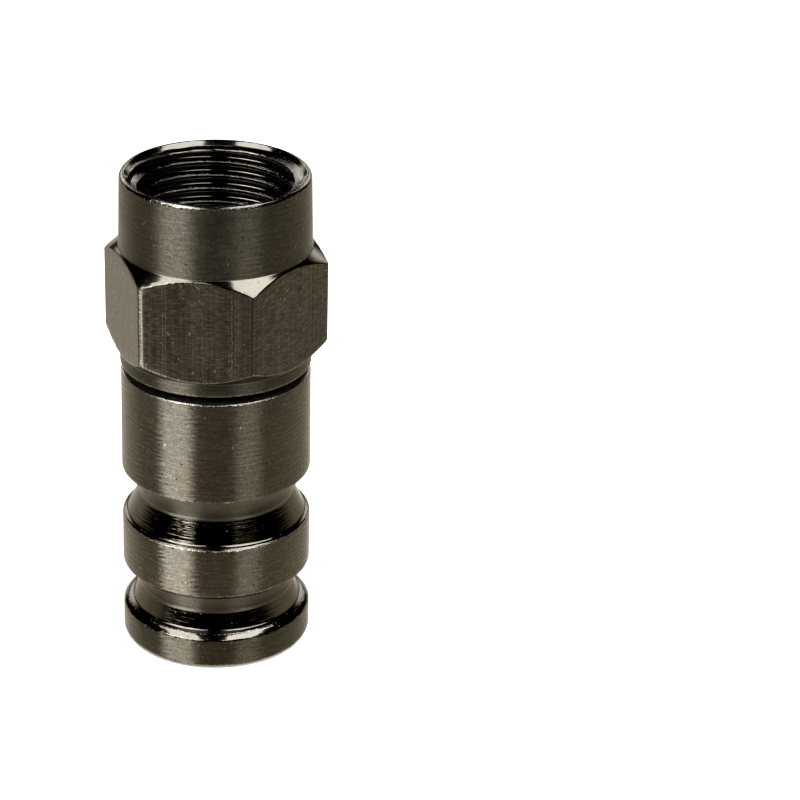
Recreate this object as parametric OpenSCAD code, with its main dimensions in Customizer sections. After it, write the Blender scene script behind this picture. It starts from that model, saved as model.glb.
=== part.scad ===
// Compression connector for coaxial cable, with a hexagon coupling nut.
// It stands on its cable end. The axis is Z, and z = 0 is the face that the cable goes in at.
// All sizes are in millimetres.

/* [Body outside] */
// Diameter over the two rings at the cable end
ring_d = 10.72; // [10.2:0.02:12]
// Diameter of the barrel where it meets the nut
barrel_nose_d = 10.66; // [10.4:0.02:12]
// Length of the ring at the cable end
end_ring_l = 2.09; // [1.6:0.02:3]
// Length of the ring between the two grooves
mid_ring_l = 3.28; // [2:0.02:5]
// Length of the barrel
barrel_l = 6.05; // [4:0.05:9]
// Chamfer round the outside of the cable end
foot_chamfer = 0.24; // [0.1:0.02:0.4]
// Chamfer on the groove side of the end ring
end_ring_chamfer = 0.28; // [0.1:0.02:0.4]
// Chamfer on the cable side of the middle ring
mid_ring_chamfer = 0.32; // [0.1:0.02:0.4]
// Width of the tiny flat that breaks the sharp turned rims
edge_break = 0.04; // [0.02:0.01:0.08]

/* [Collapse grooves] */
// Width of the groove nearer the cable end
end_groove_w = 2.27; // [1.6:0.02:2.8]
// Width of the groove beside the barrel
barrel_groove_w = 2.96; // [2:0.02:3.4]
// Diameter at the bottom of both grooves
groove_neck_d = 8.88; // [8.5:0.02:9]
// Length of the straight neck at the bottom of both grooves
groove_neck_l = 0.12; // [0.1:0.02:0.7]
// Diameter where the flanks of the end groove stop
end_land_d = 9.6; // [9.4:0.02:9.8]
// Diameter where the flanks of the barrel groove stop
barrel_land_d = 10.16; // [9.9:0.02:10.2]
// How much the ledge on the cable side of a groove rises towards the axis
ledge_rise = 0.11; // [0.02:0.01:0.15]

/* [Body inside] */
// Bore that takes the cable's jacket
jacket_bore_d = 7.9; // [7:0.02:8]
// How much wider the entry bore is than the jacket bore, in radius
entry_step = 0.15; // [0.05:0.01:0.25]
// Depth of the entry bore from the cable end
entry_l = 1.46; // [1:0.02:1.8]
// Length of the cone that leads from the entry bore to the jacket bore
lead_cone_l = 1.25; // [0.8:0.05:1.6]
// Chamfer round the mouth
mouth_chamfer = 0.32; // [0.15:0.01:0.4]
// Thickness of the wall that grips the post, measured along the axis
grip_wall_l = 2.05; // [1.4:0.05:3]
// Slope of the shoulder at the blind end of the jacket bore, measured from the axis
shoulder_slope = 59; // [45:1:70]

/* [Seal] */
// Diameter of the hub that carries the seal
hub_d = 7.9; // [7.6:0.02:8]
// Length of the hub
hub_l = 1.25; // [1:0.05:1.4]
// Thickness of the seal's round cord
seal_cord_d = 0.76; // [0.6:0.02:0.8]
// Room between the seal and each surface next to it
seal_room = 0.02; // [0.01:0.01:0.04]
// Room between the seal and the nut's recess
seal_run_room = 0.07; // [0.05:0.01:0.1]

/* [Post] */
// Bore that takes the cable's insulation
post_bore_d = 4.9; // [4.4:0.05:5]
// Diameter of the boss that is pressed into the body and carries the nut
boss_d = 6.9; // [6.5:0.05:7]
// Thickness of the flange that keeps the nut on
flange_t = 1; // [0.7:0.05:1.5]
// How far the flange stays clear of the thread's crests, in radius
flange_clear = 0.09; // [0.05:0.01:0.2]
// Diameter of the tube that goes under the cable's braid
tail_d = 5.7; // [5.5:0.05:5.9]
// Length of that tube beyond the body's grip
tail_l = 9.7; // [7:0.1:11]
// Diameter over the barb
barb_d = 6.2; // [6:0.05:6.4]
// Length of the barb's ramp
barb_l = 1.4; // [1:0.1:2.5]
// Diameter at the tip of the barb
barb_tip_d = 5.4; // [5.2:0.05:5.6]
// Chamfer round the bore in the flange's face
flange_chamfer = 0.2; // [0.1:0.02:0.3]
// Chamfer round the flange's rim
flange_rim_chamfer = 0.12; // [0.05:0.01:0.2]

/* [Nut outside] */
// Width across the flats of the hexagon
across_flats = 11; // [10.9:0.05:12]
// Length of the whole nut
nut_l = 11.2; // [10.2:0.05:14]
// Length of the round collar behind the hexagon
rear_collar_l = 0.86; // [0.6:0.02:1.4]
// Length of the hexagon
hex_l = 6.16; // [4:0.01:7]
// Diameter of the rear collar
rear_collar_d = 10.74; // [10.4:0.02:10.8]
// Diameter of the front collar beside the hexagon
collar_root_d = 10.74; // [10.6:0.02:10.86]
// Diameter of the front collar at its mouth
collar_nose_d = 10.58; // [10.4:0.02:10.8]
// Slope of the hexagon's front chamfers, measured from a plane across the axis
front_chamfer_slope = 38; // [20:1:50]
// Slope of the hexagon's rear chamfers, measured the same way
rear_chamfer_slope = 42; // [20:1:50]
// Chamfer on the outer edge of both collars
collar_chamfer = 0.15; // [0.05:0.01:0.2]
// Gap between the nut and the barrel
nut_gap = 0.36; // [0.25:0.01:0.6]

/* [Nut inside] */
// Major diameter of the coupling thread
thread_major_d = 9.525; // [9.3:0.005:9.6]
// Pitch of the coupling thread
thread_pitch = 0.794; // [0.5:0.001:1]
// Width of the flat rim between the countersink and the outer chamfer
rim_w = 0.12; // [0.05:0.01:0.2]
// Length of the undercut between the thread and the lip
undercut_l = 1.7; // [1.5:0.05:2.5]
// How much deeper the undercut is than the thread, in radius
undercut_step = 0.06; // [0.02:0.01:0.1]
// Thickness of the lip that turns on the post
lip_l = 1.25; // [0.9:0.05:1.6]
// Radial clearance between the lip and the post
run_clear = 0.08; // [0.03:0.01:0.1]
// Play between the lip and the flange, along the axis
lip_play = 0.15; // [0.05:0.01:0.25]

/* [Hidden] */
$fn = 96;
crest_factor = 1.0825;
hex_sides = 6;
past = 0.5;

ring_r = ring_d / 2;
neck_r = groove_neck_d / 2;
jacket_r = jacket_bore_d / 2;
entry_r = jacket_r + entry_step;
boss_r = boss_d / 2;
hub_r = hub_d / 2;
seal_cord_r = seal_cord_d / 2;
post_bore_r = post_bore_d / 2;
tail_r = tail_d / 2;
barb_r = barb_d / 2;
thread_minor_r = thread_major_d / 2 - crest_factor * thread_pitch / 2;
thread_major_r = thread_major_d / 2;
flange_r = thread_minor_r - flange_clear;

// Heights along the axis, from the cable end upwards
end_groove_z = end_ring_l;
mid_ring_z = end_groove_z + end_groove_w;
barrel_groove_z = mid_ring_z + mid_ring_l;
barrel_z = barrel_groove_z + barrel_groove_w;
barrel_top_z = barrel_z + barrel_l;
hub_top_z = barrel_top_z + hub_l;
grip_z = barrel_top_z - grip_wall_l;
shoulder_z = grip_z - (jacket_r - boss_r) / tan(shoulder_slope);
tail_z = grip_z - tail_l;
lip_z = hub_top_z + lip_play;
lip_top_z = lip_z + lip_l;
flange_z = lip_top_z + lip_play;
flange_top_z = flange_z + flange_t;
nut_z = barrel_top_z + nut_gap;
hex_z = nut_z + rear_collar_l;
hex_top_z = hex_z + hex_l;
nut_top_z = nut_z + nut_l;
undercut_top_z = lip_top_z + undercut_l;

// Outline of one groove, from the cable side to the nut side
function groove_points(z, width, land_r) = [
    [land_r, z + ledge_rise],
    [neck_r, z + (width - groove_neck_l) / 2],
    [neck_r, z + (width + groove_neck_l) / 2],
    [land_r, z + width]
];

module connector_body() {
    color([0.24, 0.22, 0.2])
    rotate_extrude() polygon(concat(
        [
            [entry_r + mouth_chamfer, 0],
            [ring_r - foot_chamfer, 0],
            [ring_r, foot_chamfer],
            [ring_r, end_ring_l - end_ring_chamfer],
            [ring_r - end_ring_chamfer, end_ring_l]
        ],
        groove_points(end_groove_z, end_groove_w, end_land_d / 2),
        [
            [ring_r - mid_ring_chamfer, mid_ring_z],
            [ring_r, mid_ring_z + mid_ring_chamfer],
            [ring_r, barrel_groove_z - edge_break],
            [ring_r - edge_break, barrel_groove_z]
        ],
        groove_points(barrel_groove_z, barrel_groove_w, barrel_land_d / 2),
        [
            [ring_r - edge_break, barrel_z],
            [ring_r, barrel_z + edge_break],
            [barrel_nose_d / 2, barrel_top_z - edge_break],
            [barrel_nose_d / 2 - edge_break, barrel_top_z],
            [hub_r, barrel_top_z],
            [hub_r, hub_top_z],
            [boss_r, hub_top_z],
            [boss_r, grip_z],
            [jacket_r, shoulder_z],
            [jacket_r, entry_l + lead_cone_l],
            [entry_r, entry_l],
            [entry_r, mouth_chamfer]
        ]
    ));
}

module inner_post() {
    color([0.34, 0.31, 0.27])
    rotate_extrude() polygon([
        [post_bore_r, tail_z],
        [barb_tip_d / 2, tail_z],
        [barb_r, tail_z + barb_l],
        [tail_r, tail_z + barb_l],
        [tail_r, grip_z],
        [boss_r, grip_z],
        [boss_r, flange_z],
        [flange_r - flange_rim_chamfer, flange_z],
        [flange_r, flange_z + flange_rim_chamfer],
        [flange_r, flange_top_z - flange_rim_chamfer],
        [flange_r - flange_rim_chamfer, flange_top_z],
        [post_bore_r + flange_chamfer, flange_top_z],
        [post_bore_r, flange_top_z - flange_chamfer]
    ]);
}

module seal_ring() {
    color([0.05, 0.05, 0.05])
    translate([0, 0, barrel_top_z + seal_room + seal_cord_r])
    rotate_extrude() translate([hub_r + seal_room + seal_cord_r, 0]) circle(r = seal_cord_r, $fn = 32);
}

// Turned envelope of the nut: two collars with a double cone between them for the hexagon
module nut_envelope() {
    corner_r = across_flats / 2 / cos(180 / hex_sides) + past;
    rear_rise = (corner_r - rear_collar_d / 2) * tan(rear_chamfer_slope);
    front_drop = (corner_r - collar_root_d / 2) * tan(front_chamfer_slope);
    rotate_extrude() polygon([
        [0, nut_z],
        [rear_collar_d / 2 - collar_chamfer, nut_z],
        [rear_collar_d / 2, nut_z + collar_chamfer],
        [rear_collar_d / 2, hex_z],
        [corner_r, hex_z + rear_rise],
        [corner_r, hex_top_z - front_drop],
        [collar_root_d / 2, hex_top_z],
        [collar_nose_d / 2, nut_top_z - collar_chamfer],
        [collar_nose_d / 2 - collar_chamfer, nut_top_z],
        [0, nut_top_z]
    ]);
}

// Everything that is bored out of the nut, from the rear recess to the countersunk mouth
module nut_bore() {
    recess_r = hub_r + seal_room + seal_cord_d + seal_run_room;
    countersink_r = collar_nose_d / 2 - collar_chamfer - rim_w;
    rotate_extrude() polygon([
        [0, nut_z - past],
        [recess_r, nut_z - past],
        [recess_r, lip_z],
        [boss_r + run_clear, lip_z],
        [boss_r + run_clear, lip_top_z],
        [thread_major_r + undercut_step, lip_top_z],
        [thread_major_r + undercut_step, undercut_top_z],
        [thread_minor_r, undercut_top_z + thread_major_r + undercut_step - thread_minor_r],
        [thread_minor_r, nut_top_z - countersink_r + thread_minor_r],
        [countersink_r + past, nut_top_z + past],
        [0, nut_top_z + past]
    ]);
}

module coupling_nut() {
    color([0.22, 0.2, 0.18])
    difference() {
        intersection() {
            translate([0, 0, nut_z])
                cylinder(h = nut_l, r = across_flats / 2 / cos(180 / hex_sides), $fn = hex_sides);
            nut_envelope();
        }
        nut_bore();
    }
}

connector_body();
inner_post();
seal_ring();
coupling_nut();
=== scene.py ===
"""Looks for the coaxial compression connector: turned, black-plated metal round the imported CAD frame."""

import itertools
import math
from typing import NamedTuple

import bpy
import numpy as np
from mathutils import Matrix, Vector


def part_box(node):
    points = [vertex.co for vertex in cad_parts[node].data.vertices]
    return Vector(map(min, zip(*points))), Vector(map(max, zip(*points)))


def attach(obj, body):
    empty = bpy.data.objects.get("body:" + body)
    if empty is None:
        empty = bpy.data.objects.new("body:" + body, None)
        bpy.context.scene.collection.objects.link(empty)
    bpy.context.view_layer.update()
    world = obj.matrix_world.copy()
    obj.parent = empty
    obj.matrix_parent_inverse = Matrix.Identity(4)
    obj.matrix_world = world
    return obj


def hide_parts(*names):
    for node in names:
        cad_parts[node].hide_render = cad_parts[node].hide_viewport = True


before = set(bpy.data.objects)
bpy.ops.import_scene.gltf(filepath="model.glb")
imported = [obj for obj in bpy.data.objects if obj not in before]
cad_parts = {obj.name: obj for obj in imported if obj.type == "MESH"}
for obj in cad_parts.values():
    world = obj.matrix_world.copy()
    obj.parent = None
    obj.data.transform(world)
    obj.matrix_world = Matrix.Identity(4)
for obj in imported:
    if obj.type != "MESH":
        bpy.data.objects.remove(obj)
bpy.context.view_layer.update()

MM = 0.001
UM = 0.001 * MM
TINY = 1e-9

# Heights and radii that come from the frame, in millimetres
BODY_LOW, BODY_HIGH = (corner.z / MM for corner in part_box("connector_body"))
NUT_LOW, NUT_HIGH = (corner.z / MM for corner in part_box("coupling_nut"))
POST_LOW, POST_HIGH = (corner.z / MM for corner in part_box("inner_post"))
SEAL_LOW, SEAL_HIGH = (corner.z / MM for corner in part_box("seal_ring"))
BODY_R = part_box("connector_body")[1].x / MM
SEAL_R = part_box("seal_ring")[1].x / MM
CORNER_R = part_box("coupling_nut")[1].x / MM
FLAT_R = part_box("coupling_nut")[1].y / MM

# Body, in millimetres
BARREL_NOSE_R = 5.33
END_RING_L = 2.09
MID_RING_L = 3.28
BARREL_L = 6.05
FOOT_CHAMFER = 0.24
END_RING_CHAMFER = 0.28
MID_RING_CHAMFER = 0.32
END_GROOVE_W = 2.27
BARREL_GROOVE_W = 2.96
NECK_R = 4.44
NECK_L = 0.12
END_LAND_R = 4.8
BARREL_LAND_R = 5.08
LEDGE_RISE = 0.11
JACKET_R = 3.95
ENTRY_R = 4.1
ENTRY_L = 1.46
LEAD_CONE_L = 1.25
MOUTH_CHAMFER = 0.32
GRIP_WALL_L = 2.05
SHOULDER_SLOPE = math.radians(59)
HUB_R = 3.95
BOSS_R = 3.45

# Heights where the parts of the body meet, from the cable end up
END_GROOVE_Z = BODY_LOW + END_RING_L
MID_RING_Z = END_GROOVE_Z + END_GROOVE_W
BARREL_GROOVE_Z = MID_RING_Z + MID_RING_L
BARREL_Z = BARREL_GROOVE_Z + BARREL_GROOVE_W
NOSE_Z = BARREL_Z + BARREL_L
GRIP_Z = NOSE_Z - GRIP_WALL_L

# Post, in millimetres
POST_BORE_R = 2.45
TAIL_R = 2.85
BARB_R = 3.1
BARB_L = 1.4
BARB_TIP_R = 2.7
FLANGE_R = 4.2428
FLANGE_T = 1.0
FLANGE_CHAMFER = 0.2
FLANGE_RIM_CHAMFER = 0.12

# Nut, in millimetres
REAR_COLLAR_R = 5.37
REAR_COLLAR_L = 0.86
HEX_L = 6.16
COLLAR_ROOT_R = 5.37
COLLAR_NOSE_R = 5.29
FRONT_SLOPE = math.radians(38)
REAR_SLOPE = math.radians(42)
COLLAR_CHAMFER = 0.15
RIM_W = 0.12
SINK_R = COLLAR_NOSE_R - COLLAR_CHAMFER - RIM_W
RECESS_R = 4.8
RECESS_L = 1.04
LIP_R = 3.53
LIP_L = 1.25
UNDERCUT_R = 4.8225
UNDERCUT_L = 1.7

# Hexagon: its sides, and how far and how wide its long edges are rounded
SIDES = 6
SIDE_DEG = 360 / SIDES
CORNER_ROUNDING = 0.045
CORNER_HALF_DEG = 0.8
# How worn each long edge is and how strongly it is painted pale as a highlight, from the one on +X on
CORNER_WEAR_AND_GLINT = (0.2, 0.3, 0.15, 0.25, 0.33, 0.06)
# Part of the hexagon's radius past which a point counts as on it
ON_HEXAGON = 0.999

# Thread, in millimetres
THREAD_MAJOR_R = 4.7625
THREAD_MINOR_R = 4.3328
THREAD_PITCH = 0.794
# Depth at parts of a pitch from the middle of a crest
THREAD_KEYS = (0.0, 0.10, 0.12, 0.312, 0.376, 0.5)
THREAD_DEPTHS = (0.0, 0.0, 0.008, 0.295, 0.338, 0.340)
# Part of a turn by which the thread's start is moved round
THREAD_START = 0.867
# Millimetres of radius for each one of height at the blunt start of the thread
LEAD_SLOPE = 5.0
# Radius at which the countersink's mesh ends and the thread's begins
SINK_END_R = THREAD_MAJOR_R + 0.03

# Mesh of the thread: rows as parts of a pitch from the middle of a crest, and the part that counts as crest
THREAD_ROWS = (0.0, 0.05, 0.10, 0.12, 0.13, 0.295, 0.312, 0.376, 0.395, 0.50, 0.595, 0.69, 0.88, 0.90, 0.95)
CREST_HALF = 0.14
# Turns that start below the thread, and turns beyond its length that make up for them
TURNS_BELOW = 2.5
SPARE_TURNS = 4
# Rows closer than this to either end are joined to it
THREAD_JOIN = 0.012

# How finely the forms are cut into faces
BODY_COLUMNS = 400
POST_COLUMNS = 160
SEAL_COLUMNS = 160
SEAL_STEPS = 24
ROUND_STEPS = 3
# Columns of the nut in degrees from a corner: close together beside it, then even up to the flat's middle
CORNER_COLUMNS = (0.0, 0.14, 0.28, 0.42, 0.7, 1.2)
FLAT_COLUMNS = tuple(2.0 + 1.4 * k for k in range(21))
# Distance of the rows that keep smooth shading flat, and the largest part of a stretch that they may take
SUPPORT_MM = 0.05
SUPPORT_SHARE = 0.3

# How far corners of the sections are rounded, in millimetres
SHARP = 0.035
BROKEN = 0.07
SOFT = 0.05
FILLET = 0.12
LEDGE_FILLET = 0.06
RIM_CHAMFER = 0.06
RIM_ROUNDING = SHARP * 0.7
HEX_ROUNDING = SHARP * 0.8
NOSE_ROUNDING = 0.055
NOSE_TOP_ROUNDING = 0.045

# Burrs on rounded edges: a depth in millimetres, which noise scales, and the seed of the noise
BODY_BURR = {"depth": 0.02, "seed": 3}
POST_BURR = {"depth": 0.006, "seed": 4}
NUT_BURR = {"depth": 0.022, "seed": 5}
THREAD_BURR = {"depth": 0.026, "seed": 9}
# Sizes of the wide and the fine noise in millimetres, and how much each adds to the mean
BURR_WIDE_MM, BURR_FINE_MM = 0.42, 0.13
BURR_MEAN, BURR_WIDE, BURR_FINE = 0.45, 0.4, 0.6
# Edge weight at the ends of a rounded corner, and share of the burr at the thread's blunt start
ROUND_END_WEIGHT = 0.6
LEAD_BURR = 0.3

# Numbers that scatter the seeded lattice under the burrs
HASH_PLACE = (73856093, 19349663, 83492791)
HASH_SEED = 2654435761
HASH_FACTOR, HASH_STEP = 1103515245, 12345
HASH_SPREAD = 1274126177
HASH_SHIFT = 13
HASH_MASK = 0x7FFFFFFF
HASH_LOW_BITS = 0xFFFF

# Colours of the plating: its two shades, rubbed pale (on edges also a painted highlight), pitted and bare
DARK = (0.098, 0.089, 0.071, 1.0)
WARM = (0.114, 0.098, 0.073, 1.0)
PALE = (0.260, 0.242, 0.210, 1.0)
PITTED = (0.022, 0.018, 0.013, 1.0)
BARE = (0.43, 0.40, 0.35, 1.0)
RUBBER_DARK = (0.012, 0.010, 0.008, 1.0)
RUBBER_PALE = (0.024, 0.020, 0.015, 1.0)

# Feed of the tool for each turn of the work, in millimetres, and the turns by which its marks wander
FEED_MM = 0.30
FEED_WANDER = 2.0
# Lines that the drawing die left on one flat, each with its place across it and its half width, in
# millimetres, and the two places on Y between which they fade in towards that flat
DIE_LINES = (
    (-3.02, 0.03), (-1.87, 0.035), (-1.70, 0.025), (0.35, 0.015),
    (1.93, 0.04), (2.14, 0.03), (2.30, 0.02), (2.92, 0.035),
)
DIE_FLAT_Y = (-4.0, -4.5)
# Part of a line's half width that has its full strength
DIE_CORE = 0.4
# Scratches: tilt of each kind from the axis, in radians, and the size of the cells that hold one each
LEFT_TILT = (0.5, 0.35, 0.0)
RIGHT_TILT = (-0.4, -0.8, 0.4)
DASH_CELL = (0.5, 0.5, 1.6)
# Soft edge of a spot, in cells, depth of the pits and place of the specks beside the pits
SPOT_EDGE = (-0.02, 0.03)
PIT_UM = 12.0
SPECK_SHIFT = (0.7, 0.4, 0.9)
# How far each covers the plating
SPECK_COVER, LINE_COVER, SCRATCH_COVER, PIT_COVER = 0.8, 0.6, 0.5, 0.85
# Part by which the roughness swings, and what is left of it on edges
ROUGH_SWING = 0.18
EDGE_ROUGH = 0.55

# Camera
ORBIT_DISTANCE = 164.16 * MM
ORBIT_HEIGHT = 14.0 * MM
ORBIT_ELEVATION = math.radians(25.5)
ORBIT_AZIMUTH = math.radians(11.0)
IMAGE_PX = 800
FOCAL_PX = 2893.7
SENSOR_MM = 36.0
TARGET_PX = (216.2, 407.1)
ROLL = math.radians(-0.14)
CLIP_NEAR, CLIP_FAR = 0.01, 20.0

# Ceiling panels, in metres: each has a name, a place to the camera's right, a width and its power in watts
PANELS = (
    ("panel_left", -0.492, 0.489, 13.6),
    ("panel_right", 0.408, 0.535, 15.4),
)
PANEL_AHEAD = 0.432
PANEL_LENGTH = 1.056
PANEL_HEIGHT = 0.8
PANEL_COLOUR = (0.93, 0.98, 1.08)

# Floor and background
FLOOR_HALF = 3.0
FLOOR_PAINT = (0.92, 0.90, 0.87, 1.0)
WHITE = (1.0, 1.0, 1.0, 1.0)
SOFT_LIGHT = 0.36

# Dome that only reflections see, in metres and degrees, with its colours and the glow at which each is full
DOME_R = 2.0
DOME_STEP = 2.0
DOME_TOP = 88.0
DOME_BROWN = (1.0, 0.87, 0.62, 1.0)
DOME_WHITE = (1.0, 1.005, 0.99, 1.0)
BROWN_GLOW, WHITE_GLOW = 0.35, 1.9

# Glow of the dome's parts: first the table and what is added at its sides, its rear and near the connector
TABLE_GLOW = 0.36
TABLE_SIDES = 0.20
TABLE_REAR = 0.35
TABLE_REAR_LEFT = 0.20
TABLE_REAR_SHADE = -0.15
TABLE_RIGHT = 0.07
TABLE_NEAR = 0.50
STRIP_LEFT = 3.75
STRIP_RIGHT = 0.9
LAMP_LEFT = 19.0
LAMP_RIGHT = 0.8
BACK_WALL = 2.8

# Where those parts fade in or out, in degrees round from the camera's azimuth or above the horizon
SIDES_TURN = (20, 105)
REAR_TURN = (145, 172)
REAR_LEFT_TURN = (-165, -150, -120, -100)
REAR_SHADE_TURN = (-152, -165)
RIGHT_TURN = (85, 105)
NEAR_RISE = (-48, -66)
STRIP_LEFT_TURN = (-76, -63, -40, -23)
STRIP_RIGHT_TURN = (19, 30, 46, 62)
STRIP_RISE = (-66, -46)
LAMP_LEFT_TURN = (-75, -61, -41, -28)
LAMP_RIGHT_TURN = (22, 28, 52, 60)
LAMP_RISE = (25, 28, 36, 40)
WALL_TURN = (138, 150, 169, 175)
WALL_RISE = (5, 17, 26, 36)
# Height of the table's edge over the horizon at its sides, how much less it is at the back, and where both
# set in, with the heights between which the edge itself fades
EDGE_RISE, EDGE_RISE_TURN = 5.0, (60, 90)
EDGE_DROP, EDGE_DROP_TURN = 4.0, (118, 132)
EDGE_BLUR = (-4, 1)


# Sections and meshes


def unit(vector):
    """A vector cut to a length of one in every column."""
    return vector / np.maximum(np.hypot(*vector), TINY)


def uniform_columns(count):
    """Angles of a plain turned form."""
    return np.arange(count) * 2 * math.pi / count


def stretch(start, end, spans):
    """Points strictly between two ends, with one close to each end so that smooth shading stays flat."""
    length = np.maximum(np.hypot(*(end - start)), TINY)
    near = np.clip(SUPPORT_MM / length, 0.0, SUPPORT_SHARE)
    steps = [near] + [near + (1 - 2 * near) * k / spans for k in range(1, spans)] + [1 - near]
    return [start + (end - start) * t for t in steps]


def rounded(before, here, after, rounding):
    """Points round one corner, and their edge weights, which are above 0 where the corner stands out."""
    back, on = unit(before - here), unit(after - here)
    enter, leave = here + back * rounding, here + on * rounding
    # Corners that stand out get edge weights, which also paint them paler: partly wear, partly a painted
    # highlight
    stands_out = float(back[0][0] * on[1][0] - back[1][0] * on[0][0] < 0)
    points, weights = [], []
    for k in range(ROUND_STEPS + 1):
        t = k / ROUND_STEPS
        points.append((1 - t) ** 2 * enter + 2 * t * (1 - t) * here + t * t * leave)
        weights.append(stands_out * (1.0 if 0 < k < ROUND_STEPS else ROUND_END_WEIGHT))
    return points, weights


def section(corners, closed=True):
    """Rounds and fills a chain of corners, and gives points, finishes and edge weights.
    A corner is (radius, height, rounding, spans, finish), and its spans and finish belong to the stretch
    that follows it. Radius and height may be arrays, one value for each column. The ends of an open chain
    aren't rounded."""
    width = max(np.size(value) for corner in corners for value in corner[:2])
    at = [np.array([np.broadcast_to(value, width) for value in corner[:2]], float) for corner in corners]
    points, finishes, edges = [], [], []
    count = len(corners)
    for i, (_, _, rounding, spans, finish) in enumerate(corners):
        here, after = at[i], at[(i + 1) % count]
        if not closed and i in (0, count - 1):
            turn, weights = [here], [0.0]
        else:
            turn, weights = rounded(at[i - 1], here, after, rounding)
        between = []
        if closed or i < count - 1:
            next_rounding = corners[(i + 1) % count][2]
            between = stretch(turn[-1], after - unit(after - here) * next_rounding, spans)
        points += turn + between
        edges += weights + [0.0] * len(between)
        finishes += [finish] * (len(turn) + len(between))
    return np.array(points), finishes, np.array(edges)


def along_profile(points):
    """Length along a section up to each of its points, at its first column."""
    steps = np.hypot(*np.diff(points[:, :, 0], axis=0).T)
    return np.concatenate([[0.0], np.cumsum(steps)])


def ring_grid(points, angles):
    """Vertices of a section swept round the axis, row after row, in millimetres."""
    r = np.broadcast_to(points[:, 0, :], (len(points), len(angles)))
    z = np.broadcast_to(points[:, 1, :], (len(points), len(angles)))
    return np.stack([r * np.cos(angles), r * np.sin(angles), z], -1).reshape(-1, 3)


def ring_faces(rows, columns, closed):
    """Quads between neighbouring rows, and the row that each quad starts from."""
    row = np.arange(rows if closed else rows - 1)[:, None]
    col = np.arange(columns)[None, :]
    up, on = (row + 1) % rows, (col + 1) % columns
    quads = np.stack([row * columns + col, row * columns + on, up * columns + on, up * columns + col], -1)
    return quads.reshape(-1, 4), np.repeat(row[:, 0], columns)


def lattice_values(cells, seed):
    """A value from -1 to 1 for each cell of a whole-number lattice, the same on every run."""
    h = cells[:, 0] * HASH_PLACE[0] ^ cells[:, 1] * HASH_PLACE[1] ^ cells[:, 2] * HASH_PLACE[2]
    h = (h ^ seed * HASH_SEED) & HASH_MASK
    h = (h * HASH_FACTOR + HASH_STEP) & HASH_MASK
    h = (h ^ (h >> HASH_SHIFT)) * HASH_SPREAD & HASH_MASK
    return 2 * (h & HASH_LOW_BITS) / HASH_LOW_BITS - 1


def value_noise(points, seed, scale):
    """Smooth noise from -1 to 1 at each point, with features of about the given size."""
    place = points / scale
    cell = np.floor(place).astype(np.int64)
    part = place - cell
    part = part * part * (3 - 2 * part)
    total = np.zeros(len(points))
    for corner in itertools.product((0, 1), repeat=3):
        weight = np.prod(np.where(corner, part, 1 - part), axis=1)
        total += weight * lattice_values(cell + corner, seed)
    return total


def burr(verts, edges, depth, seed):
    """Moves the vertices on rounded edges unevenly inward, as a cutting tool leaves them."""
    wide = value_noise(verts, seed, BURR_WIDE_MM)
    fine = value_noise(verts, seed + 1, BURR_FINE_MM)
    move = depth * edges * np.maximum(BURR_MEAN + BURR_WIDE * wide + BURR_FINE * fine, 0.0)
    radius = np.maximum(np.hypot(verts[:, 0], verts[:, 1]), TINY)
    verts[:, :2] -= verts[:, :2] / radius[:, None] * move[:, None]
    return verts


def link_object(name, data):
    """A new object in the scene."""
    made = bpy.data.objects.new(name, data)
    bpy.context.scene.collection.objects.link(made)
    return made


def make_piece(name, verts, faces, finish_of_face, along, edges, materials):
    """A mesh object from millimetre vertices, with one material for each finish."""
    mesh = bpy.data.meshes.new(name)
    mesh.from_pydata((verts * MM).tolist(), [], faces)
    order = list(materials)
    for key in order:
        mesh.materials.append(materials[key])
    mesh.polygons.foreach_set("material_index", [order.index(finish) for finish in finish_of_face])
    mesh.polygons.foreach_set("use_smooth", [True] * len(mesh.polygons))
    for label, values in (("along", along), ("edge", edges)):
        layer = mesh.attributes.new(label, "FLOAT", "POINT")
        layer.data.foreach_set("value", np.asarray(values, np.float32))
    mesh.validate()
    mesh.update()
    return link_object(name, mesh)


def turned_piece(name, corners, columns, materials, burrs):
    """A closed section turned round the axis."""
    points, finishes, edges = section(corners)
    faces, rows = ring_faces(len(points), columns, True)
    edges = np.repeat(edges, columns)
    verts = burr(ring_grid(points, uniform_columns(columns)), edges, **burrs)
    along = np.repeat(along_profile(points), columns)
    kinds = [finishes[row] for row in rows]
    return make_piece(name, verts, faces[:, ::-1].tolist(), kinds, along, edges, materials)


# Sections of the pieces


def groove_corners(z, width, land_r):
    """One collapse groove, from the cable side to the nut side."""
    return [
        (land_r, z + LEDGE_RISE, LEDGE_FILLET, 4, "polished"),
        (NECK_R, z + (width - NECK_L) / 2, SOFT, 2, "satin"),
        (NECK_R, z + (width + NECK_L) / 2, SOFT, 4, "satin"),
        (land_r, z + width, FILLET, 3, "satin"),
    ]


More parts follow.
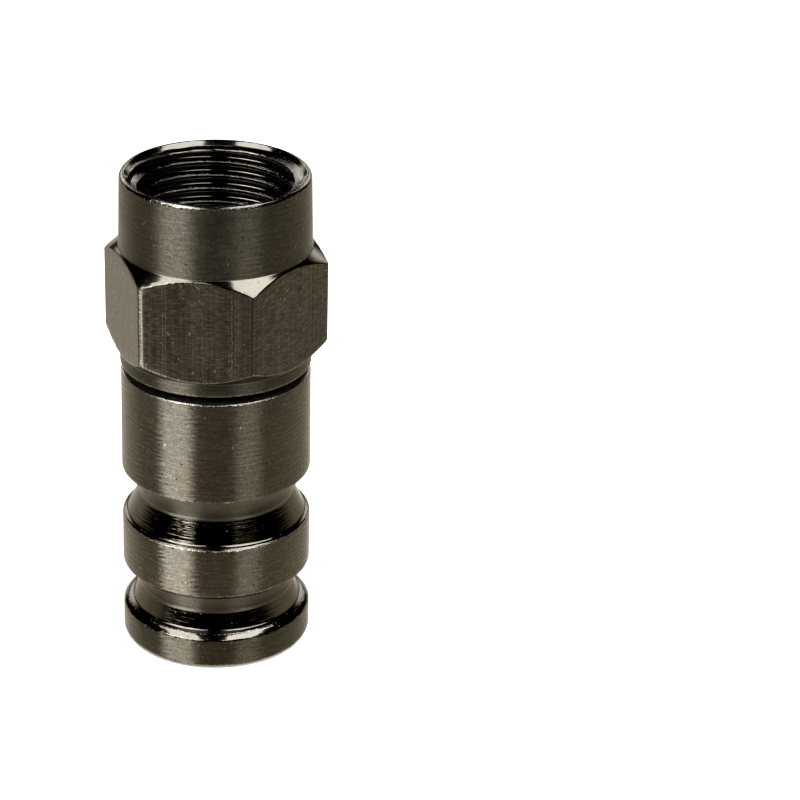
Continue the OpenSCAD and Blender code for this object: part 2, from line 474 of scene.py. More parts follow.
def body_corners():
    """Section of the body, from the mouth of the cable end round the outside and back through the bore."""
    shoulder_z = GRIP_Z - (JACKET_R - BOSS_R) / math.tan(SHOULDER_SLOPE)
    return [
        (ENTRY_R + MOUTH_CHAMFER, BODY_LOW, BROKEN, 3, "turned"),
        (BODY_R - FOOT_CHAMFER, BODY_LOW, SHARP, 2, "chamfer"),
        (BODY_R, BODY_LOW + FOOT_CHAMFER, SHARP, 4, "end_ring"),
        (BODY_R, END_GROOVE_Z - END_RING_CHAMFER, SHARP, 2, "chamfer"),
        (BODY_R - END_RING_CHAMFER, END_GROOVE_Z, SHARP, 3, "polished"),
        *groove_corners(END_GROOVE_Z, END_GROOVE_W, END_LAND_R),
        (BODY_R - MID_RING_CHAMFER, MID_RING_Z, SHARP, 2, "chamfer"),
        (BODY_R, MID_RING_Z + MID_RING_CHAMFER, SHARP, 6, "mid_ring"),
        # The short rim stretches take the rim finish, whose raised colour is a painted highlight
        (BODY_R, BARREL_GROOVE_Z - RIM_CHAMFER, RIM_ROUNDING, 1, "rim"),
        (BODY_R - RIM_CHAMFER, BARREL_GROOVE_Z, RIM_ROUNDING, 3, "polished"),
        *groove_corners(BARREL_GROOVE_Z, BARREL_GROOVE_W, BARREL_LAND_R),
        (BODY_R - RIM_CHAMFER, BARREL_Z, RIM_ROUNDING, 1, "rim"),
        (BODY_R, BARREL_Z + RIM_CHAMFER, RIM_ROUNDING, 9, "turned"),
        (BARREL_NOSE_R, NOSE_Z - RIM_CHAMFER, RIM_ROUNDING, 1, "rim"),
        (BARREL_NOSE_R - RIM_CHAMFER, NOSE_Z, RIM_ROUNDING, 4, "satin"),
        (HUB_R, NOSE_Z, SHARP, 3, "satin"),
        (HUB_R, BODY_HIGH, SHARP, 2, "satin"),
        (BOSS_R, BODY_HIGH, SHARP, 4, "bore"),
        (BOSS_R, GRIP_Z, SHARP, 2, "bore"),
        (JACKET_R, shoulder_z, SHARP, 5, "bore"),
        (JACKET_R, BODY_LOW + ENTRY_L + LEAD_CONE_L, SHARP, 4, "bore"),
        (ENTRY_R, BODY_LOW + ENTRY_L, SHARP, 3, "bore"),
        (ENTRY_R, BODY_LOW + MOUTH_CHAMFER, SHARP, 2, "chamfer"),
    ]


def post_corners():
    """Section of the barbed post with the flange that keeps the nut on."""
    flange_z = POST_HIGH - FLANGE_T
    return [
        (POST_BORE_R, POST_LOW, SHARP, 1, "turned"),
        (BARB_TIP_R, POST_LOW, SHARP, 3, "turned"),
        (BARB_R, POST_LOW + BARB_L, SHARP, 1, "turned"),
        (TAIL_R, POST_LOW + BARB_L, SHARP, 12, "turned"),
        (TAIL_R, GRIP_Z, SHARP, 2, "turned"),
        (BOSS_R, GRIP_Z, SHARP, 8, "turned"),
        (BOSS_R, flange_z, SHARP, 2, "turned"),
        (FLANGE_R - FLANGE_RIM_CHAMFER, flange_z, SHARP, 1, "turned"),
        (FLANGE_R, flange_z + FLANGE_RIM_CHAMFER, SHARP, 2, "turned"),
        (FLANGE_R, POST_HIGH - FLANGE_RIM_CHAMFER, SHARP, 1, "turned"),
        (FLANGE_R - FLANGE_RIM_CHAMFER, POST_HIGH, SHARP, 6, "turned"),
        (POST_BORE_R + FLANGE_CHAMFER, POST_HIGH, SHARP, 2, "turned"),
        (POST_BORE_R, POST_HIGH - FLANGE_CHAMFER, SHARP, 24, "turned"),
    ]


def nut_angles():
    """Columns of the nut, closer together beside the hexagon's corners."""
    half = CORNER_COLUMNS + FLAT_COLUMNS
    sector = [-a for a in half[:0:-1]] + list(half[:-1])
    degrees = [SIDE_DEG * k + a for k in range(SIDES) for a in sector]
    return np.radians(np.array(sorted(d % 360 for d in degrees)))


def from_flat_middle(angles):
    """Degrees from each angle to the middle of the flat that it is on. The hexagon has a corner on +X."""
    return np.abs(np.degrees(angles) % SIDE_DEG - SIDE_DEG / 2)


def corner_weight(angles):
    """How close each angle is to a corner of the hexagon, from 0 to 1."""
    from_corner = SIDE_DEG / 2 - from_flat_middle(angles)
    return np.exp(-((from_corner / CORNER_HALF_DEG) ** 2))


def hexagon_radius(angles):
    """Distance from the axis to the hexagon's flats, with its six long edges rounded a little."""
    flat = FLAT_R / np.cos(np.radians(from_flat_middle(angles)))
    return np.minimum(flat, CORNER_R) - CORNER_ROUNDING * corner_weight(angles)


def nut_outside(hexagon):
    """Chain from the undercut's top down through the bore, round the outside and up to the countersink.
    hexagon is the hexagon's radius at every column."""
    hex_z = NUT_LOW + REAR_COLLAR_L
    hex_top_z = hex_z + HEX_L
    lip_z = NUT_LOW + RECESS_L
    lip_top_z = lip_z + LIP_L
    rise = (hexagon - REAR_COLLAR_R) * math.tan(REAR_SLOPE)
    drop = (hexagon - COLLAR_ROOT_R) * math.tan(FRONT_SLOPE)
    return [
        (UNDERCUT_R, lip_top_z + UNDERCUT_L, 0.0, 3, "bore"),
        (UNDERCUT_R, lip_top_z, SHARP, 4, "bore"),
        (LIP_R, lip_top_z, SHARP, 3, "bore"),
        (LIP_R, lip_z, SHARP, 4, "bore"),
        (RECESS_R, lip_z, SHARP, 3, "bore"),
        (RECESS_R, NUT_LOW, SHARP, 1, "collar"),
        (REAR_COLLAR_R - COLLAR_CHAMFER, NUT_LOW, SHARP, 1, "chamfer"),
        (REAR_COLLAR_R, NUT_LOW + COLLAR_CHAMFER, SHARP, 4, "collar"),
        (REAR_COLLAR_R, hex_z, SHARP, 2, "chamfer"),
        (hexagon, hex_z + rise, HEX_ROUNDING, 12, "flat"),
        (hexagon, hex_top_z - drop, HEX_ROUNDING, 3, "chamfer"),
        (COLLAR_ROOT_R, hex_top_z, SHARP, 14, "collar"),
        (COLLAR_NOSE_R, NUT_HIGH - COLLAR_CHAMFER, NOSE_ROUNDING, 1, "rim"),
        (COLLAR_NOSE_R - COLLAR_CHAMFER, NUT_HIGH, NOSE_TOP_ROUNDING, 1, "rim"),
        (SINK_R, NUT_HIGH, HEX_ROUNDING, 2, "chamfer"),
        (SINK_END_R, NUT_HIGH - SINK_R + SINK_END_R, 0.0, 1, "chamfer"),
    ]


def from_crest(phase):
    """Part of a pitch from the middle of the nearest crest, up to a half."""
    return 0.5 - abs(phase % 1.0 - 0.5)


def lead_in_radius(z):
    """Radius that the countersink leaves free at a height. It is a 45 degree cone, and then the blunt start
    of the thread."""
    cone_r = SINK_R - (NUT_HIGH - z)
    if cone_r > THREAD_MAJOR_R:
        return cone_r
    return THREAD_MAJOR_R - (THREAD_MAJOR_R - cone_r) * LEAD_SLOPE


def thread_point(phase, z, z_low):
    """Radius and edge weight of the nut's wall at a phase of the thread and a height. z_low is the height at
    which the undercut ends."""
    thread = THREAD_MINOR_R + float(np.interp(from_crest(phase), THREAD_KEYS, THREAD_DEPTHS))
    radius = max(thread, UNDERCUT_R - (z - z_low), lead_in_radius(z))
    # Crests get an edge weight, which paints them paler: partly wear, partly a painted highlight along the
    # crest
    on_crest = from_crest(phase) < CREST_HALF
    return radius, float(on_crest) * (1.0 if radius == thread else LEAD_BURR)


def thread_grid(angles, first, low, high, z_low, z_high):
    """Helical rows between two circles of the nut, so that the mesh runs along the thread.
    low and high are the circles' vertex numbers, and first is the number of the first new vertex.
    Gives the new vertices and their edge weights, and the vertex numbers of every column."""
    turns = int((z_high - z_low) / THREAD_PITCH) + SPARE_TURNS
    verts, edges, columns = [], [], []
    for angle, lowest, highest in zip(angles, low, high):
        column = []
        for turn, phase in itertools.product(range(turns), THREAD_ROWS):
            z = z_low + THREAD_PITCH * (turn - TURNS_BELOW + THREAD_START + phase + angle / (2 * math.pi))
            if z <= z_low + THREAD_JOIN:
                column.append(lowest)
            elif z >= z_high - THREAD_JOIN:
                column.append(highest)
            else:
                radius, weight = thread_point(phase, z, z_low)
                column.append(first + len(verts))
                verts.append((radius * math.cos(angle), radius * math.sin(angle), z))
                edges.append(weight)
        columns.append(column + [highest])
    return np.array(verts), np.array(edges), columns


def thread_faces(columns):
    """Faces between neighbouring columns of the thread. Past the last column, each row meets the row a turn
    higher on the first."""
    rows = len(THREAD_ROWS)
    faces = []
    for column, beside in zip(columns, columns[1:] + [columns[0][rows:]]):
        for s in range(len(column) - 1 - rows):
            ring = (column[s], beside[s], beside[s + 1], column[s + 1])
            loop = [v for k, v in enumerate(ring) if v != ring[k - 1]]
            if len(loop) > 2 and len(set(loop)) == len(loop):
                faces.append(loop)
    return faces


def corner_wear_and_glint(outside, rows, angles):
    """Edge weights of the nut's outside along the hexagon's six long edges. They paint the edges paler,
    partly as wear and partly as a painted highlight.
    """
    reach = np.hypot(outside[:, 0], outside[:, 1]) / np.tile(hexagon_radius(angles), rows)
    wear = np.array(CORNER_WEAR_AND_GLINT)[np.round(np.degrees(angles) / SIDE_DEG).astype(int) % SIDES]
    return np.tile(corner_weight(angles) * wear, rows) * (reach > ON_HEXAGON)


def make_nut(materials):
    """The hexagon nut with its helical thread."""
    angles = nut_angles()
    columns = len(angles)
    points, finishes, edges = section(nut_outside(hexagon_radius(angles)), closed=False)
    quads, rows = ring_faces(len(points), columns, False)
    edges = np.repeat(edges, columns)
    outside = ring_grid(points, angles)
    wear_and_glint = corner_wear_and_glint(outside, len(points), angles)
    outside = burr(outside, edges, **NUT_BURR)
    low = range(columns)
    high = range(len(outside) - columns, len(outside))
    z_low, z_high = float(points[0, 1, 0]), float(points[-1, 1, 0])
    thread, thread_edges, thread_columns = thread_grid(angles, len(outside), low, high, z_low, z_high)
    thread = burr(thread, thread_edges, **THREAD_BURR)
    helix = thread_faces(thread_columns)
    verts = np.concatenate([outside, thread])
    faces = quads[:, ::-1].tolist() + helix
    kinds = [finishes[row] for row in rows] + ["thread"] * len(helix)
    along = np.concatenate([np.repeat(along_profile(points), columns), thread[:, 2]])
    edges = np.concatenate([np.maximum(edges, wear_and_glint), thread_edges])
    return make_piece("hexagon_nut", verts, faces, kinds, along, edges, materials)


def make_seal(materials):
    """The rubber ring between the hub and the nut."""
    cord = (SEAL_HIGH - SEAL_LOW) / 2
    centre_r, centre_z = SEAL_R - cord, (SEAL_LOW + SEAL_HIGH) / 2
    turn = uniform_columns(SEAL_STEPS)
    points = np.stack([centre_r + cord * np.cos(turn), centre_z + cord * np.sin(turn)], -1)[:, :, None]
    verts = ring_grid(points, uniform_columns(SEAL_COLUMNS))
    quads, _ = ring_faces(SEAL_STEPS, SEAL_COLUMNS, True)
    along = np.repeat(along_profile(points), SEAL_COLUMNS)
    kinds = ["rubber"] * len(quads)
    return make_piece("rubber_seal", verts, quads.tolist(), kinds, along, np.zeros(len(verts)), materials)


# Materials


class Graph:
    """A short way to write the nodes of a material or a world."""

    def __init__(self, owner):
        self.owner = owner
        owner.use_nodes = True
        self.tree = owner.node_tree
        self.tree.nodes.clear()

    def node(self, kind, links=None, **settings):
        """A node with its settings, and each input linked to a socket or set to a value."""
        made = self.tree.nodes.new(kind)
        for key, value in settings.items():
            setattr(made, key, value)
        for key, value in (links or {}).items():
            if isinstance(value, bpy.types.NodeSocket):
                self.tree.links.new(value, made.inputs[key])
            else:
                made.inputs[key].default_value = value
        return made

    def attribute(self, name):
        return self.node("ShaderNodeAttribute", attribute_name=name).outputs["Fac"]

    def math(self, operation, a, b=0.0, clamp=False):
        return self.node("ShaderNodeMath", {0: a, 1: b}, operation=operation, use_clamp=clamp).outputs[0]

    def times(self, a, b, clamp=False):
        return self.math("MULTIPLY", a, b, clamp)

    def noise(self, vector, scale=1.0, detail=2.0, roughness=0.5):
        links = {"Vector": vector, "Scale": scale, "Detail": detail, "Roughness": roughness}
        return self.node("ShaderNodeTexNoise", links).outputs["Fac"]

    def remap(self, value, low, high, to_low=0.0, to_high=1.0):
        links = {"Value": value, "From Min": low, "From Max": high, "To Min": to_low, "To Max": to_high}
        return self.node("ShaderNodeMapRange", links, clamp=True).outputs["Result"]

    def mix(self, factor, a, b):
        """A mix of two colours, by the numbers of the colour sockets."""
        return self.node("ShaderNodeMix", {0: factor, 6: a, 7: b}, data_type="RGBA").outputs[2]

    def bump(self, height, distance, normal=None):
        links = {"Height": height, "Distance": distance, "Strength": 1.0}
        if normal is not None:
            links["Normal"] = normal
        return self.node("ShaderNodeBump", links).outputs["Normal"]

    def surface(self, kind, links):
        """Ends a material with its shader, and gives the material."""
        shader = self.node(kind, links)
        self.node("ShaderNodeOutputMaterial", {"Surface": shader.outputs[0]})
        return self.owner


def object_place(graph):
    """Place on the object, in millimetres."""
    place = graph.node("ShaderNodeTexCoord").outputs["Object"]
    return graph.node("ShaderNodeVectorMath", {0: place, 3: 1 / MM}, operation="SCALE").outputs["Vector"]


def stretched_place(graph, across, upward):
    """Place on the object in units of the given sizes of a feature, in millimetres, round and along the axis.
    Upward follows the section, so that marks keep their width on cones and flat faces."""
    split = graph.node("ShaderNodeSeparateXYZ", {0: object_place(graph)}).outputs
    links = {
        "X": graph.times(split["X"], 1 / across),
        "Y": graph.times(split["Y"], 1 / across),
        "Z": graph.times(graph.attribute("along"), 1 / upward),
    }
    return graph.node("ShaderNodeCombineXYZ", links).outputs["Vector"]


def feed_marks(graph):
    """Low waves that the tool leaves round the work, uneven in height and place."""
    split = graph.node("ShaderNodeSeparateXYZ", {0: stretched_place(graph, 1.0, FEED_MM)}).outputs
    wander = graph.noise(stretched_place(graph, across=2.6, upward=1.2), detail=1.0)
    turns = graph.math("ADD", split["Z"], graph.times(wander, FEED_WANDER))
    wave = graph.math("SINE", graph.times(turns, 2 * math.pi))
    swell = graph.remap(graph.noise(stretched_place(graph, across=0.7, upward=0.4), detail=1.0), 0.38, 0.62)
    return graph.math("ADD", graph.times(graph.times(wave, swell), 0.5), 0.5)


def spots(graph, place, size, share, radius):
    """Scattered round spots. size is the spacing in millimetres, share how many cells hold one."""
    voronoi = graph.node("ShaderNodeTexVoronoi", {"Vector": place, "Scale": 1 / size}, feature="F1")
    chance = graph.node("ShaderNodeSeparateColor", {0: voronoi.outputs["Color"]}).outputs
    wide = graph.times(graph.remap(chance[0], 1 - share, 1.0), radius / size)
    return graph.remap(graph.math("SUBTRACT", wide, voronoi.outputs["Distance"]), *SPOT_EDGE)


def dashes(graph, place, tilt, share):
    """Short straight scratches in one direction, which is the axis turned by the tilt."""
    links = {"Vector": place, "Rotation": tilt, "Scale": DASH_CELL}
    turned = graph.node("ShaderNodeMapping", links, vector_type="TEXTURE").outputs["Vector"]
    return spots(graph, turned, size=1.0, share=share, radius=0.14)


def die_lines(graph, place):
    """Lines that the drawing die left on one flat of the hexagon."""
    split = graph.node("ShaderNodeSeparateXYZ", {0: place}).outputs
    total = 0.0
    for across, width in DIE_LINES:
        off = graph.math("ABSOLUTE", graph.math("SUBTRACT", split["X"], across))
        total = graph.math("ADD", graph.remap(off, width, width * DIE_CORE), total, clamp=True)
    return graph.times(total, graph.remap(split["Y"], *DIE_FLAT_Y))


def tinted(colour, level, blue=1.0):
    """A colour at a share of its level, with a share of its blue."""
    return (colour[0] * level, colour[1] * level, colour[2] * level * blue, 1.0)


class Tooling(NamedTuple):
    """What turned or drawn metal looks like on the whole.
    streak and wave are how strongly the close marks and the ripple show. left and right are how many cells
    hold a scratch of each kind. Bare specks have a spacing in millimetres and a share of their cells, and
    gloss_turn is the part of a turn between the axis and the direction in which the gloss is drawn out."""

    streak: float
    wave: float
    left: float
    right: float
    speck_size: float
    speck_share: float
    gloss_turn: float


TURNED = Tooling(
    streak=0.2, wave=0.07, left=0.5, right=0.4, speck_size=0.5, speck_share=0.3, gloss_turn=0.25
)
DRAWN = Tooling(
    streak=0.28, wave=0.36, left=0.9, right=0.8, speck_size=0.3, speck_share=0.45, gloss_turn=0.0
)


class Finish(NamedTuple):
    """One finish of the plating.
    roughness and spread are the gloss and how far it is drawn out across the marks. marks_um, ripple_um,
    grit_um and edge_um are the heights of the close marks, of the wider chatter, of the grain and of the
    burrs on edges, in thousandths of a millimetre. level scales the colour, blue its blue, and wear the
    pits and scratches. run and fine are the length and the width of the marks round the axis, in
    millimetres."""

    roughness: float
    spread: float
    marks_um: float
    ripple_um: float
    level: float = 1.0
    wear: float = 1.0
    grit_um: float = 1.6
    edge_um: float = 12.0
    run: float = 1.3
    fine: float = 0.07
    blue: float = 1.0
    tooling: Tooling = TURNED


class Texture(NamedTuple):
    """Sockets that carry the patterns of one finish, and the place on the object in millimetres."""

    place: bpy.types.NodeSocket
    edge: bpy.types.NodeSocket
    marks: bpy.types.NodeSocket
    ripple: bpy.types.NodeSocket
    cloud: bpy.types.NodeSocket
    mottle: bpy.types.NodeSocket
    grain: bpy.types.NodeSocket
    pits: bpy.types.NodeSocket
    scratch: bpy.types.NodeSocket


def tool_marks(graph, finish):
    """Close marks and wider ripple. They run round the axis on turned metal. On drawn metal the marks run
    along it and the ripple is a hatch across."""
    if finish.tooling is DRAWN:
        marks = graph.noise(stretched_place(graph, across=0.17, upward=9.0), detail=4.0, roughness=0.75)
        hatch = graph.noise(stretched_place(graph, across=0.5, upward=0.085), detail=2.0, roughness=0.6)
        return marks, graph.remap(hatch, 0.36, 0.64)
    marks = graph.noise(stretched_place(graph, finish.run, finish.fine), detail=3.0, roughness=0.65)
    return marks, feed_marks(graph)


def plating_texture(graph, finish):
    """All patterns of a finish."""
    place = object_place(graph)
    marks, ripple = tool_marks(graph, finish)
    pits = spots(graph, place, size=0.30, share=0.6, radius=0.065)
    left = dashes(graph, place, LEFT_TILT, finish.tooling.left)
    right = dashes(graph, place, RIGHT_TILT, finish.tooling.right)
    return Texture(
        place=place,
        edge=graph.attribute("edge"),
        marks=marks,
        ripple=ripple,
        cloud=graph.noise(place, scale=0.6, detail=4.0, roughness=0.62),
        mottle=graph.noise(place, scale=3.2, detail=3.0, roughness=0.65),
        grain=graph.noise(place, scale=10.0, detail=2.0, roughness=0.6),
        pits=graph.times(pits, finish.wear, clamp=True),
        scratch=graph.times(graph.math("MAXIMUM", left, right), finish.wear, clamp=True),
    )


def stained_colour(graph, finish, texture):
    """The plating's two shades, rubbed pale and dark by each pattern in turn."""
    level, stain = finish.level, min(finish.wear, 1.0)
    streak, wave = finish.tooling.streak, finish.tooling.wave
    shades = [tinted(shade, level, finish.blue) for shade in (DARK, WARM)]
    base = graph.mix(graph.remap(texture.cloud, 0.38, 0.62), *shades)
    # Each layer starts at one value of its pattern and reaches its share at another
    layers = (
        (texture.mottle, 0.62, 0.38, 0.22, PITTED),
        (texture.marks, 0.50, 0.64, streak, PALE),
        (texture.marks, 0.50, 0.36, streak, PITTED),
        (texture.ripple, 0.5, 1.0, wave, PALE),
        (texture.ripple, 0.5, 0.0, wave, PITTED),
        (texture.grain, 0.56, 0.74, 0.5, PALE),
        (texture.grain, 0.44, 0.28, 0.5, PITTED),
    )
    for pattern, start, full, share, colour in layers:
        base = graph.mix(graph.remap(pattern, start, full, 0.0, share * stain), base, tinted(colour, level))
    return base


def plating_colour(graph, finish, texture):
    """Stained plating with bare specks, die lines, scratches, pits, and edges painted pale: partly wear,
    partly a painted highlight.
    """
    stain = min(finish.wear, 1.0)
    bare = tinted(BARE, finish.level)
    base = stained_colour(graph, finish, texture)
    aside = graph.node("ShaderNodeVectorMath", {0: texture.place, 1: SPECK_SHIFT}).outputs[0]
    specks = spots(graph, aside, finish.tooling.speck_size, finish.tooling.speck_share, radius=0.04)
    base = graph.mix(graph.times(specks, SPECK_COVER * stain * stain), base, bare)
    if finish.tooling is DRAWN:
        lines = graph.times(die_lines(graph, texture.place), graph.remap(texture.grain, 0.35, 0.6))
        base = graph.mix(graph.times(lines, LINE_COVER), base, PALE)
    base = graph.mix(graph.times(texture.scratch, SCRATCH_COVER * stain), base, bare)
    base = graph.mix(graph.times(texture.pits, PIT_COVER), base, PITTED)
    # Edges are painted pale in beads: partly wear of the plating, partly a painted highlight of the glint
    # along them
    patches = graph.remap(texture.mottle, 0.40, 0.56, 0.15, 1.0)
    beads = graph.times(graph.remap(texture.grain, 0.44, 0.60), patches)
    wear_and_glint = graph.times(texture.edge, graph.times(beads, 0.1 + 1.1 * stain), clamp=True)
    return graph.mix(wear_and_glint, base, PALE)


def plating_normal(graph, finish, texture):
    """Normal bent by each pattern in turn."""
    normal = None
    for height, depth_um in (
        (graph.times(texture.grain, texture.edge), finish.edge_um),
        (texture.grain, finish.grit_um),
        (graph.times(texture.pits, -1.0), PIT_UM),
        (texture.marks, finish.marks_um),
        (texture.ripple, finish.ripple_um),
    ):
        normal = graph.bump(height, depth_um * UM, normal)
    return normal


def plated(name, finish):
    """Black plating on turned or drawn brass. Edges are glossier than the faces beside them."""
    graph = Graph(bpy.data.materials.new(name))
    texture = plating_texture(graph, finish)
    glossy, dull = finish.roughness * (1 - ROUGH_SWING), finish.roughness * (1 + ROUGH_SWING)
    rough = graph.remap(texture.cloud, 0.3, 0.7, glossy, dull)
    tangent = graph.node("ShaderNodeTangent", direction_type="RADIAL", axis="Z").outputs["Tangent"]
    return graph.surface("ShaderNodeBsdfPrincipled", {
        "Base Color": plating_colour(graph, finish, texture),
        "Metallic": 1.0,
        "Roughness": graph.times(rough, graph.remap(texture.edge, 0.0, 1.0, 1.0, EDGE_ROUGH)),
        "Anisotropic": finish.spread,
        "Anisotropic Rotation": finish.tooling.gloss_turn,
        "Normal": plating_normal(graph, finish, texture),
        "Tangent": tangent,
    })


def rubber(name):
    """Black seal rubber with a faint bloom."""
    graph = Graph(bpy.data.materials.new(name))
    place = object_place(graph)
    bloom = graph.noise(place, scale=3.0, detail=3.0, roughness=0.6)
    grain = graph.noise(place, scale=30.0, detail=2.0, roughness=0.6)
    return graph.surface("ShaderNodeBsdfPrincipled", {
        "Base Color": graph.mix(graph.remap(bloom, 0.35, 0.7), RUBBER_DARK, RUBBER_PALE),
        "Roughness": graph.remap(bloom, 0.3, 0.7, 0.22, 0.38),
        "Normal": graph.bump(grain, 4.0 * UM),
    })


# Finishes of the metal pieces, by the names that their sections use
BODY_FINISHES = {
    "turned": Finish(roughness=0.24, spread=0.7, marks_um=1.0, ripple_um=11.0, level=0.88),
    "mid_ring": Finish(roughness=0.22, spread=0.7, marks_um=1.0, ripple_um=13.0, edge_um=20.0),
    "end_ring": Finish(roughness=0.24, spread=0.7, marks_um=0.9, ripple_um=9.0, level=0.70, blue=0.9),
    "chamfer": Finish(
        roughness=0.09, spread=0.3, marks_um=0.3, ripple_um=0.4, level=0.9, wear=0.3, grit_um=0.8
    ),
    # The rim's colour is raised to 2.6 times the plating's: a painted highlight for the glint along the sharp
    # rim edges
    "rim": Finish(
        roughness=0.12, spread=0.2, marks_um=0.4, ripple_um=1.0, level=2.6, grit_um=6.0, edge_um=24.0
    ),
    "polished": Finish(
        roughness=0.05, spread=0.2, marks_um=10.0, ripple_um=1.0,
        level=0.9, wear=0.3, grit_um=0.8, run=3.2, fine=0.11
    ),
    "satin": Finish(roughness=0.30, spread=0.7, marks_um=1.2, ripple_um=1.5, level=1.02, wear=0.4, run=3.0),
    "bore": Finish(roughness=0.3, spread=0.8, marks_um=1.2, ripple_um=3.0),
}
NUT_FINISHES = {
    "collar": Finish(roughness=0.36, spread=0.8, marks_um=0.9, ripple_um=7.0, level=0.61, blue=0.95),
    "flat": Finish(roughness=0.17, spread=0.0, marks_um=0.8, ripple_um=1.2, level=0.74, tooling=DRAWN),
    "chamfer": Finish(
        roughness=0.10, spread=0.3, marks_um=0.3, ripple_um=0.4, level=0.85, wear=0.3, grit_um=0.8
    ),
    "rim": Finish(
        roughness=0.15, spread=0.3, marks_um=0.4, ripple_um=1.0, level=0.95, grit_um=5.5, edge_um=14.0
    ),
    "thread": Finish(
        roughness=0.07, spread=0.2, marks_um=1.4, ripple_um=1.0,
        level=0.9, wear=0.3, grit_um=1.2, edge_um=32.0, run=2.5
    ),
    "bore": Finish(roughness=0.3, spread=0.8, marks_um=1.2, ripple_um=3.0, level=0.8),
}
POST_FINISHES = {"turned": Finish(roughness=0.25, spread=0.8, marks_um=0.8, ripple_um=2.0)}


# Pieces


def plated_set(part, finishes):
    """A material for each finish of a part."""
    return {kind: plated(f"{part}_{kind}", finish) for kind, finish in finishes.items()}


def dress(piece, node, body):
    """Puts a piece in a CAD node's place."""
    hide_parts(node)
    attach(piece, body)


def make_pieces():
    """The four pieces, each in the place of its own CAD node."""
    body_plating = plated_set("body", BODY_FINISHES)
    nut_plating = plated_set("nut", NUT_FINISHES)
    post_plating = plated_set("post", POST_FINISHES)
    body = turned_piece("grooved_body", body_corners(), BODY_COLUMNS, body_plating, BODY_BURR)
    dress(body, "connector_body", "plug")
    post = turned_piece("barbed_post", post_corners(), POST_COLUMNS, post_plating, POST_BURR)
    dress(post, "inner_post", "plug")
    nut = make_nut(nut_plating)
    dress(nut, "coupling_nut", "nut")
    seal = make_seal({"rubber": rubber("seal_rubber_look")})
    dress(seal, "seal_ring", "plug")


# Studio


def direction(azimuth, elevation):
    """Unit vector from the object towards an azimuth and an elevation, in radians.
    Azimuth 0 is -Y, and it grows towards +X."""
    flat = math.cos(elevation)
    return Vector((math.sin(azimuth) * flat, -math.cos(azimuth) * flat, math.sin(elevation)))


def make_panel(name, side, width, power):
    """A soft panel over the floor that faces down. side is its place to the right as the camera sees it."""
    data = bpy.data.lights.new(name, "AREA")
    data.shape = "RECTANGLE"
    data.size, data.size_y = width, PANEL_LENGTH
    data.energy = power
    data.color = PANEL_COLOUR
    lamp = link_object(name, data)
    across, towards = direction(ORBIT_AZIMUTH + math.pi / 2, 0.0), direction(ORBIT_AZIMUTH, 0.0)
    lamp.location = across * side + towards * PANEL_AHEAD + Vector((0, 0, PANEL_HEIGHT))
    lamp.rotation_euler = (0.0, 0.0, ORBIT_AZIMUTH)
    lamp.visible_camera = False


def make_floor():
    """A pale floor, far wider than the view. Reflections see the dome instead of it."""
    mesh = bpy.data.meshes.new("floor")
    corners = [(x * FLOOR_HALF, y * FLOOR_HALF, 0) for x, y in ((-1, -1), (1, -1), (1, 1), (-1, 1))]
    mesh.from_pydata(corners, [], [(0, 1, 2, 3)])
    graph = Graph(bpy.data.materials.new("floor_paint"))
    mesh.materials.append(graph.surface("ShaderNodeBsdfDiffuse", {"Color": FLOOR_PAINT, "Roughness": 0.9}))
    floor = link_object("floor", mesh)
    floor.visible_glossy = False
    floor.visible_shadow = False


def ease(value, start, end):
    """Smooth step from 0 at start to 1 at end."""
    t = np.clip((value - start) / (end - start), 0.0, 1.0)
    return t * t * (3 - 2 * t)


def window(value, rise, full, fall, end):
    """Smooth rise from 0 to 1 between the first two places, and fall back to 0 between the last two."""
    return ease(value, rise, full) - ease(value, fall, end)


def dome_glow(azimuth, elevation):
    """Light of the reflection dome, in degrees from the camera's azimuth and above the horizon.
    Below the table's far edge it is brown-grey, with a bright strip on the left and a dim one on the right.
    Above the edge it is black but for two low lamps at the same sides and a pale wall low at the back."""
    turn = np.abs(azimuth)
    edge = EDGE_RISE * ease(turn, *EDGE_RISE_TURN) - EDGE_DROP * ease(turn, *EDGE_DROP_TURN)
    low = 1 - ease(elevation - edge, *EDGE_BLUR)
    table = TABLE_GLOW + TABLE_SIDES * ease(turn, *SIDES_TURN) + TABLE_REAR * ease(turn, *REAR_TURN)
    table = table + TABLE_REAR_LEFT * window(azimuth, *REAR_LEFT_TURN)
    table = table + TABLE_REAR_SHADE * ease(azimuth, *REAR_SHADE_TURN)
    table = table + TABLE_RIGHT * ease(azimuth, *RIGHT_TURN)
    table = table + TABLE_NEAR * ease(elevation, *NEAR_RISE)
    strips = STRIP_LEFT * window(azimuth, *STRIP_LEFT_TURN) + STRIP_RIGHT * window(azimuth, *STRIP_RIGHT_TURN)
    lamps = LAMP_LEFT * window(azimuth, *LAMP_LEFT_TURN) + LAMP_RIGHT * window(azimuth, *LAMP_RIGHT_TURN)
    wall = BACK_WALL * window(turn, *WALL_TURN) * window(elevation, *WALL_RISE)
    below = table + strips * ease(elevation, *STRIP_RISE)
    above = lamps * window(elevation, *LAMP_RISE) + wall
    return low * below + (1 - low) * above


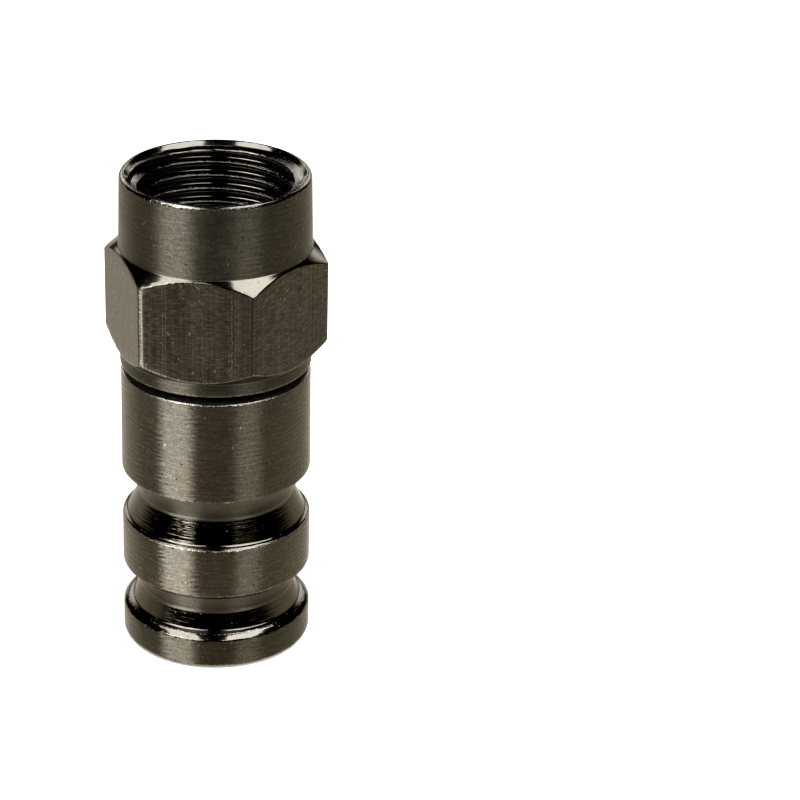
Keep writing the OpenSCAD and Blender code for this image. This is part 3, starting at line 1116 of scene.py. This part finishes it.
def make_dome():
    """A dome that only reflections see. It stands in for the pale table and for the dark room with its low
    lamps and its pale wall."""
    turns = np.arange(-180, 180, DOME_STEP)
    rises = np.arange(-DOME_TOP, DOME_TOP + DOME_STEP, DOME_STEP)
    turn, rise = (grid.ravel() for grid in np.meshgrid(turns, rises))
    middle = Vector((0, 0, ORBIT_HEIGHT))
    verts = [
        direction(ORBIT_AZIMUTH + math.radians(a), math.radians(e)) * DOME_R + middle
        for a, e in zip(turn, rise)
    ]
    faces, _ = ring_faces(len(rises), len(turns), False)
    mesh = bpy.data.meshes.new("reflection_dome")
    mesh.from_pydata(verts, [], faces.tolist())
    glow = dome_glow(turn, rise).astype(np.float32)
    mesh.attributes.new("glow", "FLOAT", "POINT").data.foreach_set("value", glow)
    graph = Graph(bpy.data.materials.new("dome_light"))
    level = graph.attribute("glow")
    colour = graph.mix(graph.remap(level, BROWN_GLOW, WHITE_GLOW), DOME_BROWN, DOME_WHITE)
    material = graph.surface("ShaderNodeEmission", {"Color": colour, "Strength": level})
    material.cycles.emission_sampling = "NONE"
    mesh.materials.append(material)
    dome = link_object("reflection_dome", mesh)
    dome.visible_camera = False
    dome.visible_diffuse = False
    dome.visible_shadow = False


def make_world():
    """White background for the camera and for reflections, and a plain soft level of light for the rest."""
    world = bpy.data.worlds.new("studio")
    bpy.context.scene.world = world
    graph = Graph(world)
    rays = graph.node("ShaderNodeLightPath").outputs
    seen = graph.math("MAXIMUM", rays["Is Camera Ray"], rays["Is Glossy Ray"])
    seen = graph.math("MAXIMUM", seen, rays["Is Transmission Ray"])
    level = graph.remap(seen, 0.0, 1.0, SOFT_LIGHT, 1.0)
    back = graph.node("ShaderNodeBackground", {"Color": WHITE, "Strength": level})
    graph.node("ShaderNodeOutputWorld", {"Surface": back.outputs[0]})


def make_camera():
    """Puts the camera on its orbit and turns it until the connector's middle lands on its pixel."""
    data = bpy.data.cameras.new("camera")
    data.sensor_width = SENSOR_MM
    data.lens = FOCAL_PX / IMAGE_PX * SENSOR_MM
    data.clip_start, data.clip_end = CLIP_NEAR, CLIP_FAR
    camera = link_object("camera", data)
    back = direction(ORBIT_AZIMUTH, ORBIT_ELEVATION)
    camera.location = Vector((0, 0, ORBIT_HEIGHT)) + back * ORBIT_DISTANCE
    across = (TARGET_PX[0] - IMAGE_PX / 2) / FOCAL_PX
    up = (IMAGE_PX / 2 - TARGET_PX[1]) / FOCAL_PX
    level = back.to_track_quat("Z", "Y").to_matrix()
    yaw = math.atan(across)
    pitch = math.atan(up * math.cos(yaw))
    turn = Matrix.Rotation(ROLL, 3, "Z") @ Matrix.Rotation(-pitch, 3, "X") @ Matrix.Rotation(yaw, 3, "Y")
    camera.rotation_mode = "QUATERNION"
    camera.rotation_quaternion = (level @ turn).to_quaternion()
    bpy.context.scene.camera = camera


def make_studio():
    """Light, floor and camera as in the photograph."""
    make_world()
    make_floor()
    make_dome()
    for panel in PANELS:
        make_panel(*panel)
    make_camera()
    bpy.context.scene.view_settings.view_transform = "Standard"


make_pieces()
make_studio()
